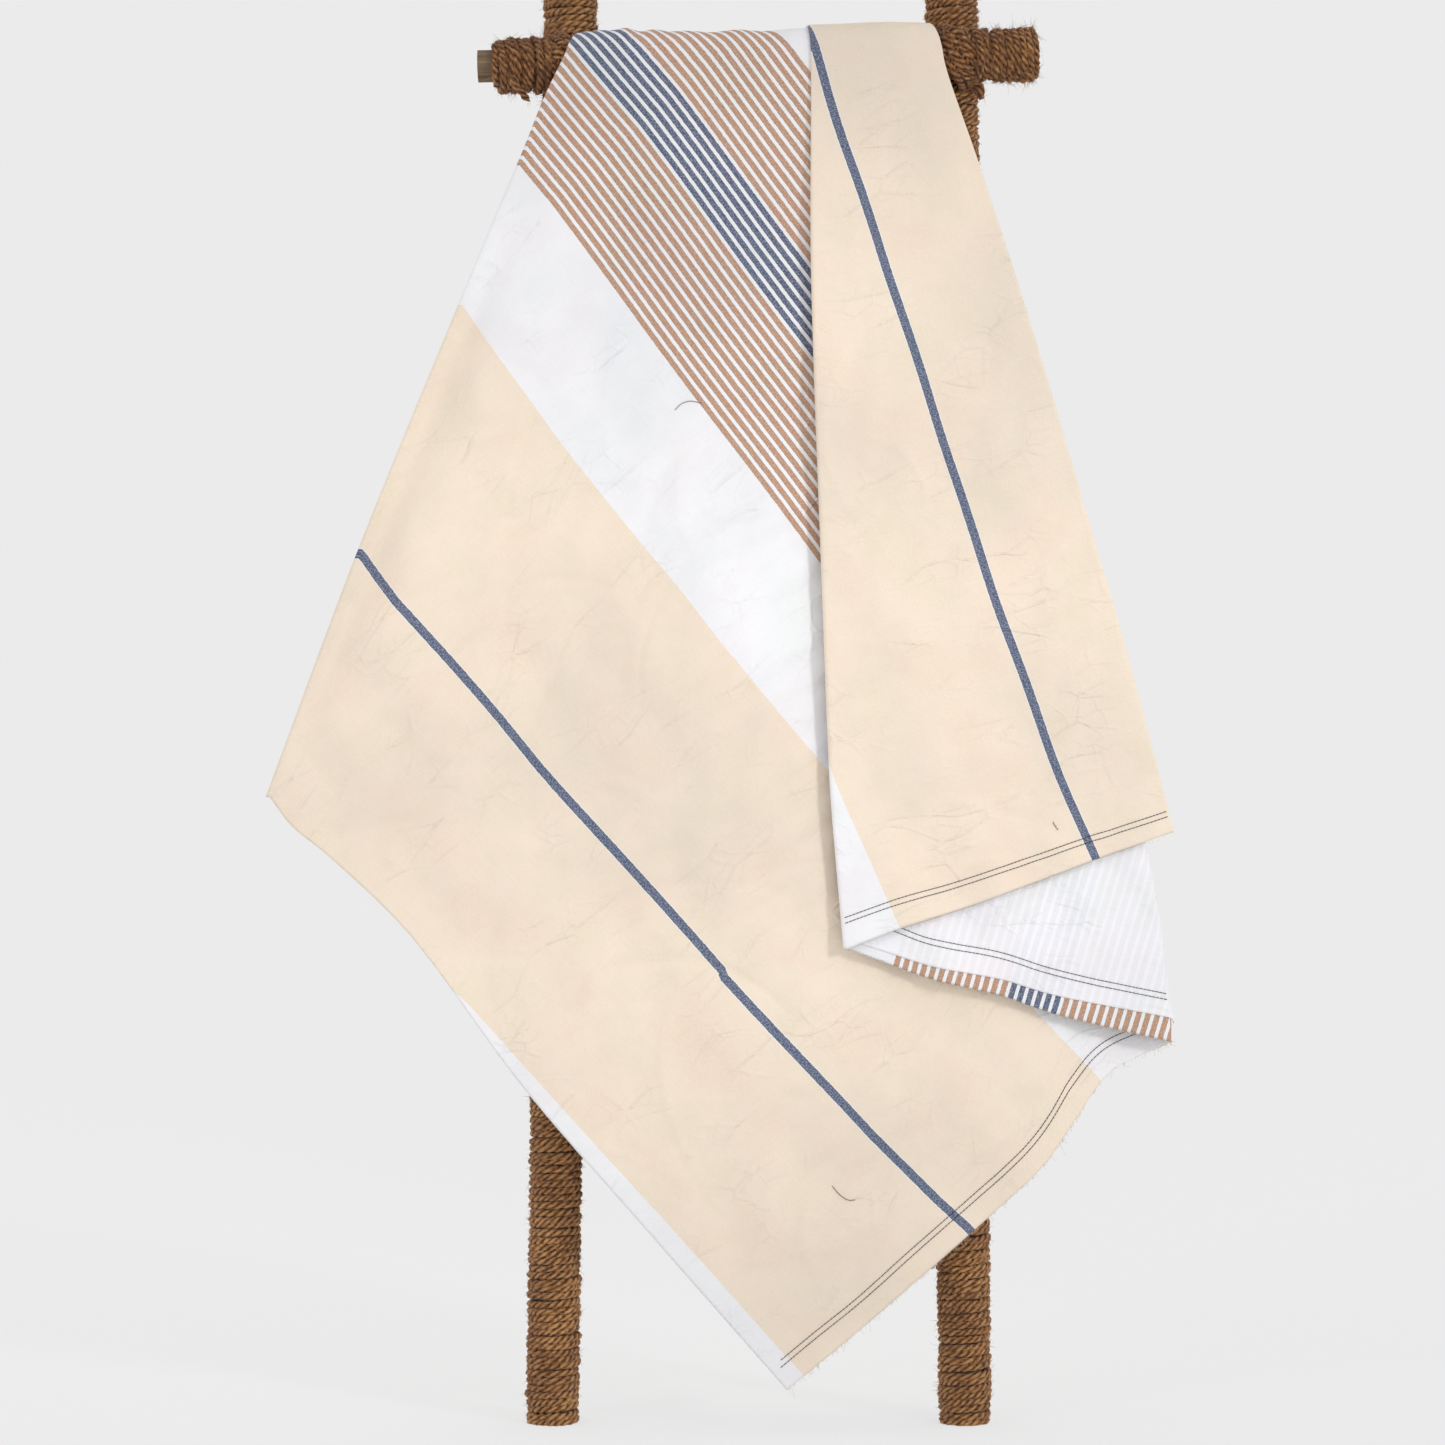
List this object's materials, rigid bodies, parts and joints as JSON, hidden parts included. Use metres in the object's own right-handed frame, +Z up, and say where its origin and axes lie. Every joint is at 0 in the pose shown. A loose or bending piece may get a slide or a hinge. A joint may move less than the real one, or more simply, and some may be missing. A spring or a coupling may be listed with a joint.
{
  "type": "quilt on a rope-wound rack",
  "caption": "Striped cotton quilt hung diagonally over the top rail of a rope-wound pole rack, folded back at one side.",
  "frame": {"origin": "centre of the whole box in X and Y, on the floor under the posts' feet", "axes": "+Z up along the posts, -Y the front with the folded flap, +X to the viewer's right"},
  "size_m": [0.9454, 0.1772, 1.62],
  "materials": {
    "pole_wood": "rough weathered pole",
    "rope": "twisted coir, hairy",
    "lining_cotton": "plain weave, matte",
    "striped_cotton": "yarn-dyed stripes, matte"
  },
  "bodies": {
    "rack": {"left_post": "pole_wood", "left_lower_rung_lashing": "rope", "left_middle_rung_lashing": "rope", "left_top_rail_lashing": "rope", "left_foot_winding": "rope", "left_lower_winding": "rope", "left_upper_winding": "rope", "left_top_winding": "rope", "right_post": "pole_wood", "right_lower_rung_lashing": "rope", "right_middle_rung_lashing": "rope", "right_top_rail_lashing": "rope", "right_foot_winding": "rope", "right_lower_winding": "rope", "right_upper_winding": "rope", "right_top_winding": "rope", "lower_rung": "pole_wood", "middle_rung": "pole_wood", "top_rail": "pole_wood", "rail_centre_winding": "rope", "rail_right_end_winding": "rope"},
    "quilt": {"quilt_lining": "lining_cotton", "quilt_face": "striped_cotton"}
  },
  "joints": [
    {"name": "quilt_lift", "type": "slide", "parent": "rack", "child": "quilt", "axis": [0, 0, 1], "range_m": [0, 1.65]}
  ]
}
